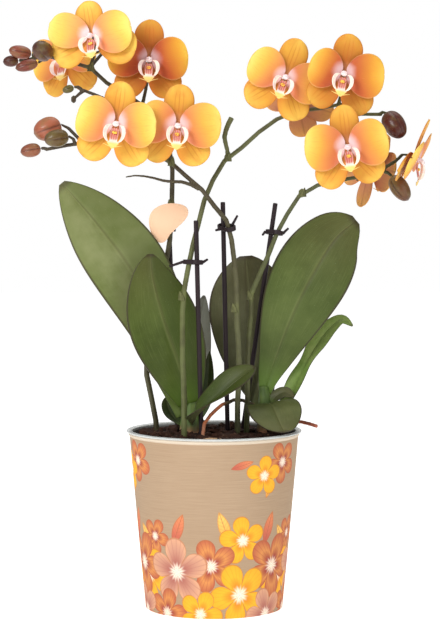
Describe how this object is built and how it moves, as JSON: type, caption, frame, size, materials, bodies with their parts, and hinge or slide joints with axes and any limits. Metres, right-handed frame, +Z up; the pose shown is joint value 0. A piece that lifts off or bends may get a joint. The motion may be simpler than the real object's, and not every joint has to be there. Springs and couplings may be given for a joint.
{
  "type": "potted moth orchid",
  "caption": "Moth orchid with flower spikes tied to stakes, in a clear nursery pot inside a tapered paper pot sleeve.",
  "frame": {"origin": "under the middle of the pot, on the table it stands on", "axes": "+Z up along the pot's axis, -Y towards the viewer of the flowers, +X to that viewer's right"},
  "size_m": [0.2938, 0.1248, 0.4158],
  "materials": {
    "clear_pot": "clear thin plastic, slightly cloudy",
    "paper": "uncoated kraft paper with a printed border of simple blossoms and a cream rolled edge",
    "bark": "rough damp bark",
    "crown": "smooth plant tissue, slightly waxy",
    "leaf": "leathery leaf with a satin sheen, dark at the edges",
    "spike": "firm green-brown flower stem, satin",
    "stake": "dark plum plastic",
    "tag": "smooth blank card",
    "bud": "closed waxy sepals, pink-brown to olive",
    "petal": "soft waxy petals, golden yellow at the edge and coral near the middle, with fine veins",
    "lip": "waxy lip, ivory with a red throat and a yellow tip"
  },
  "bodies": {
    "root": {"nursery_pot": "clear_pot", "pot_sleeve": "paper", "bark": "bark", "crown_left": "crown", "crown_right": "crown", "leaf_1": "leaf", "leaf_2": "leaf", "leaf_3": "leaf", "leaf_4": "leaf", "leaf_5": "leaf", "leaf_6": "leaf", "leaf_7": "leaf", "leaf_8": "leaf", "leaf_9": "leaf", "leaf_10": "leaf", "leaf_11": "leaf", "spike_1": "spike", "spike_2": "spike", "spike_3": "spike", "spike_4": "spike", "stake_1": "stake", "stake_2": "stake", "stake_3": "stake", "stake_4": "stake", "clip_1": "stake", "clip_2": "stake", "clip_3": "stake", "plant_tag": "tag", "bud_1": "bud", "bud_2": "bud", "bud_3": "bud", "bud_4": "bud", "bud_5": "bud", "bud_6": "bud", "bud_7": "bud", "bud_8": "bud", "bud_9": "bud", "bud_10": "bud", "bloom_1": "petal", "lip_1": "lip", "bloom_2": "petal", "lip_2": "lip", "bloom_3": "petal", "lip_3": "lip", "bloom_4": "petal", "lip_4": "lip", "bloom_5": "petal", "lip_5": "lip", "bloom_6": "petal", "lip_6": "lip", "bloom_7": "petal", "lip_7": "lip", "bloom_8": "petal", "lip_8": "lip", "bloom_9": "petal", "lip_9": "lip", "bloom_10": "petal", "lip_10": "lip", "bloom_11": "petal", "lip_11": "lip"}
  },
  "joints": []
}
